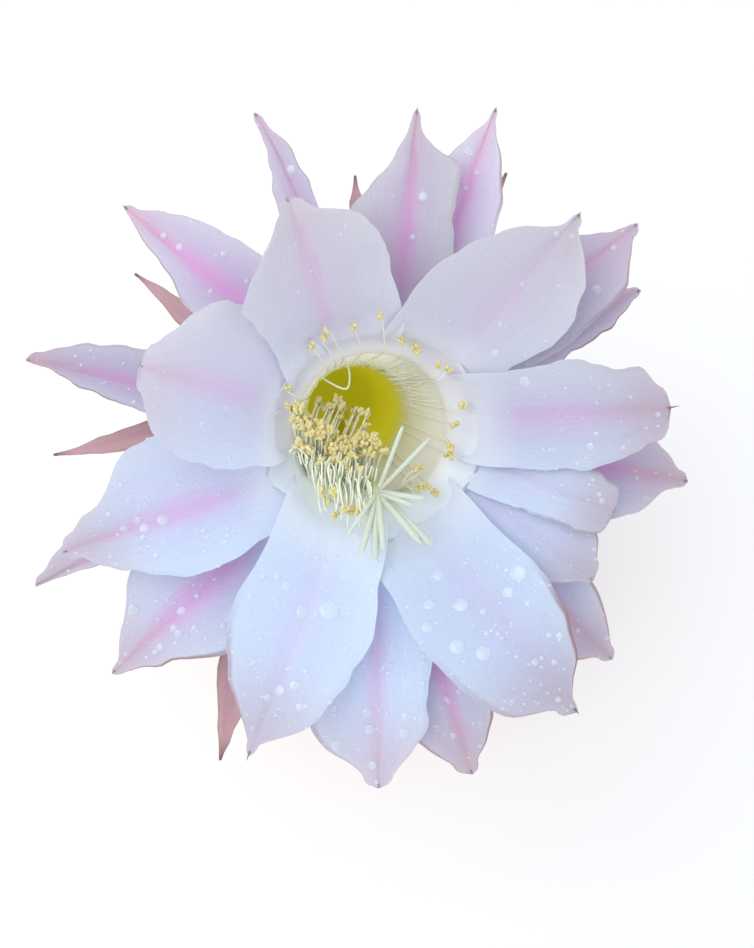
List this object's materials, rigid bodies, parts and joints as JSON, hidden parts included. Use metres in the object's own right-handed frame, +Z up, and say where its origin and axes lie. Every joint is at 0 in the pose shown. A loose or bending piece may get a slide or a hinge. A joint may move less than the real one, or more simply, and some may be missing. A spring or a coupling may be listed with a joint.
{
  "type": "potted echinopsis oxygona",
  "caption": "Ribbed globe cactus in a plain clay pot, with one open funnel-shaped bloom of white and pink petals on a long scaly tube that leans out over the pot's front.",
  "frame": {"origin": "centre of the pot's underside", "axes": "+Z up the pot's axis, and the bloom leans out over -Y; +X is to the right when the plant is seen from its front"},
  "size_m": [0.1366, 0.2234, 0.3371],
  "materials": {
    "clay": "unglazed terracotta",
    "soil": "loose and gritty",
    "cactus_skin": "waxy, with brown spines and pale wool",
    "tube_skin": "matte, with greyish hairs",
    "sepal": "matte",
    "petal_pink": "satin, with a magenta midrib",
    "petal_white": "satin",
    "stamen": "matte",
    "stigma": "satin"
  },
  "bodies": {
    "root": {"pot": "clay", "soil": "soil", "stem": "cactus_skin", "flower_tube": "tube_skin", "sepals": "sepal", "outer_petals": "petal_pink", "petals": "petal_white", "stamens": "stamen", "pistil": "stigma"}
  },
  "joints": []
}
